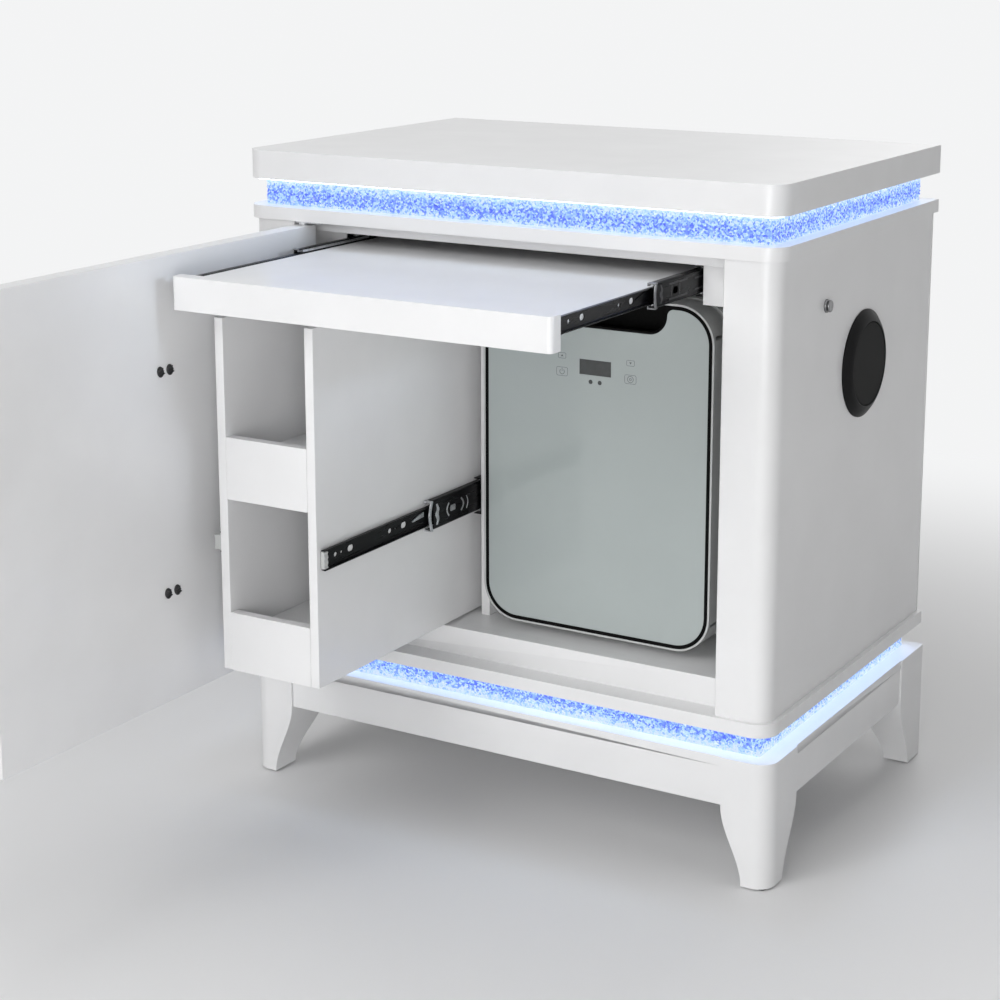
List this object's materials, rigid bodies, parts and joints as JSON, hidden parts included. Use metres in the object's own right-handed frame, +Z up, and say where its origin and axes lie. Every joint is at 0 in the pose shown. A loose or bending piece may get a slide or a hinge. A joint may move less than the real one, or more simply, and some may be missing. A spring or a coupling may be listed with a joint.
{
  "type": "refrigerator nightstand",
  "caption": "White nightstand on tapered legs with lit crystal bands, an open door, a pull-out tray, a pull-out can rack and a built-in drinks refrigerator.",
  "frame": {"origin": "on the floor, at the centre of the cabinet's 711 by 480 mm footprint, midway between the four feet", "axes": "+Z up, -Y towards the front, where the door, tray and rack open, +X towards the cabinet's right side with the loudspeaker, seen from the front"},
  "size_m": [0.72, 1.0285, 0.799],
  "materials": {
    "white_lacquer": "white satin lacquer on board",
    "crystals": "crushed crystal chips, lit blue",
    "light_strip": "pale cyan light strip",
    "black_steel": "black electrocoat, satin",
    "zinc_steel": "bright zinc",
    "chrome": "polished",
    "black_plastic": "fine grained black plastic",
    "speaker_frame": "black frame and magnet",
    "fridge_enamel": "pale grey satin enamel",
    "foam": "foamed insulation, sealed in",
    "white_plastic": "white moulded plastic",
    "clear_plastic": "clear moulded plastic",
    "aluminium": "mill finish, extruded fins",
    "grey_glass": "grey-green back-painted glass",
    "seal_rubber": "black magnetic door seal"
  },
  "bodies": {
    "cabinet": {"top_slab": "white_lacquer", "ledge_board": "white_lacquer", "lower_plate": "white_lacquer", "band_cores": "white_lacquer", "upper_crystal_band": "crystals", "lower_crystal_band": "crystals", "light_strips": "light_strip", "left_side_panel": "white_lacquer", "right_side_panel": "white_lacquer", "front_posts": "white_lacquer", "front_rails": "white_lacquer", "floor_board": "white_lacquer", "back_panel": "white_lacquer", "back_panel_screws": "zinc_steel", "cable_grommet": "black_plastic", "base_top_board": "white_lacquer", "base_rails": "white_lacquer", "legs": "white_lacquer", "leg_glides": "black_plastic", "rack_bay_panels": "white_lacquer", "tray_rails": "white_lacquer", "door_pivots": "zinc_steel", "tray_slide_outers": "black_steel", "rack_slide_outers": "black_steel", "speaker_ring": "black_plastic", "speaker_grille": "black_plastic", "speaker_driver": "speaker_frame", "button_bezel": "chrome", "control_box": "black_plastic", "fridge_shell": "fridge_enamel", "fridge_front_frame": "fridge_enamel", "fridge_hinges": "zinc_steel", "fridge_insulation": "foam", "fridge_liner": "white_plastic", "fridge_shelf": "clear_plastic", "fridge_cooler": "aluminium", "fridge_rear_cover": "black_plastic"},
    "button": {"side_button": "chrome"},
    "door": {"door_panel": "white_lacquer", "door_pulls": "chrome", "pull_bolts": "black_steel"},
    "tray": {"tray_board": "white_lacquer", "tray_lip": "white_lacquer", "tray_slide_inners": "black_steel"},
    "tray_slide_middle": {"tray_slide_middles": "black_steel", "tray_slide_cages": "zinc_steel"},
    "rack": {"rack_sides": "white_lacquer", "rack_back": "white_lacquer", "rack_front_rails": "white_lacquer", "rack_shelves": "white_lacquer", "rack_slide_inners": "black_steel"},
    "rack_slide_middle": {"rack_slide_middles": "black_steel", "rack_slide_cages": "zinc_steel"},
    "fan_rotor": {"fridge_fan": "black_plastic"},
    "fridge_door": {"fridge_door_frame": "white_plastic", "fridge_door_backing": "black_plastic", "fridge_door_glass": "grey_glass", "fridge_display": "black_plastic", "fridge_door_liner": "white_plastic", "fridge_door_seal": "seal_rubber"}
  },
  "joints": [
    {"name": "door_hinge", "type": "hinge", "parent": "cabinet", "child": "door", "pos_m": [-0.277, -0.2275, 0.456], "axis": [0, 0, -1], "range_deg": [-4, 12]},
    {"name": "tray_slide", "type": "slide", "parent": "cabinet", "child": "tray", "axis": [0, -1, 0], "range_m": [-0.314, 0.084]},
    {"name": "tray_middle_slide", "type": "slide", "parent": "cabinet", "child": "tray_slide_middle", "axis": [0, -1, 0], "range_m": [-0.1135, 0.0305]},
    {"name": "rack_slide", "type": "slide", "parent": "cabinet", "child": "rack", "axis": [0, -1, 0], "range_m": [-0.316, 0.034]},
    {"name": "rack_middle_slide", "type": "slide", "parent": "cabinet", "child": "rack_slide_middle", "axis": [0, -1, 0], "range_m": [-0.1015, 0.0115]},
    {"name": "fridge_door_hinge", "type": "hinge", "parent": "cabinet", "child": "fridge_door", "pos_m": [0.2355, -0.1635, 0.4445], "axis": [0, 0, 1], "range_deg": [0, 95]},
    {"name": "side_button_push", "type": "slide", "parent": "cabinet", "child": "button", "axis": [-1, 0, 0], "range_m": [0, 0.0015], "stiffness_N_per_m": 600},
    {"name": "fan_spin", "type": "hinge", "parent": "cabinet", "child": "fan_rotor", "pos_m": [0.098, 0.138, 0.4445], "axis": [0, 1, 0], "continuous": true}
  ],
  "couplings": [
    {"joint": "tray_middle_slide", "follows": "tray_slide", "ratio": 0.36},
    {"joint": "rack_middle_slide", "follows": "rack_slide", "ratio": 0.32}
  ]
}
